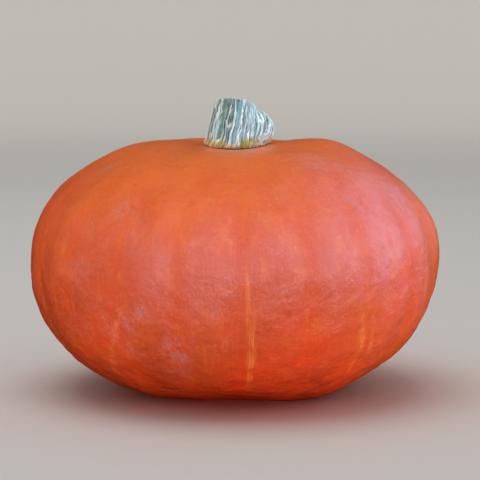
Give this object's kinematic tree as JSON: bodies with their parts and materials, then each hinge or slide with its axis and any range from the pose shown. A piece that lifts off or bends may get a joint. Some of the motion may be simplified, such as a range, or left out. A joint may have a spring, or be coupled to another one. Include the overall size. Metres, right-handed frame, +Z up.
{
  "type": "kabocha squash",
  "caption": "Whole orange winter squash, a broad flattened globe with shallow ribs and a short corky stem, resting on its blossom end.",
  "frame": {"origin": "on the standing surface, under the middle of the fruit", "axes": "+Z up along the fruit's axis, +X across its broad side, -Y towards its front"},
  "size_m": [0.2004, 0.1938, 0.1439],
  "materials": {
    "skin": "waxy, half-gloss orange-red vegetable rind, yellower on the crown, with yellow streaks and dull scuffs",
    "cork": "dry ridged cork, off-white over grey-green, olive at the foot"
  },
  "bodies": {
    "root": {"fruit": "skin", "stem": "cork"}
  },
  "joints": []
}
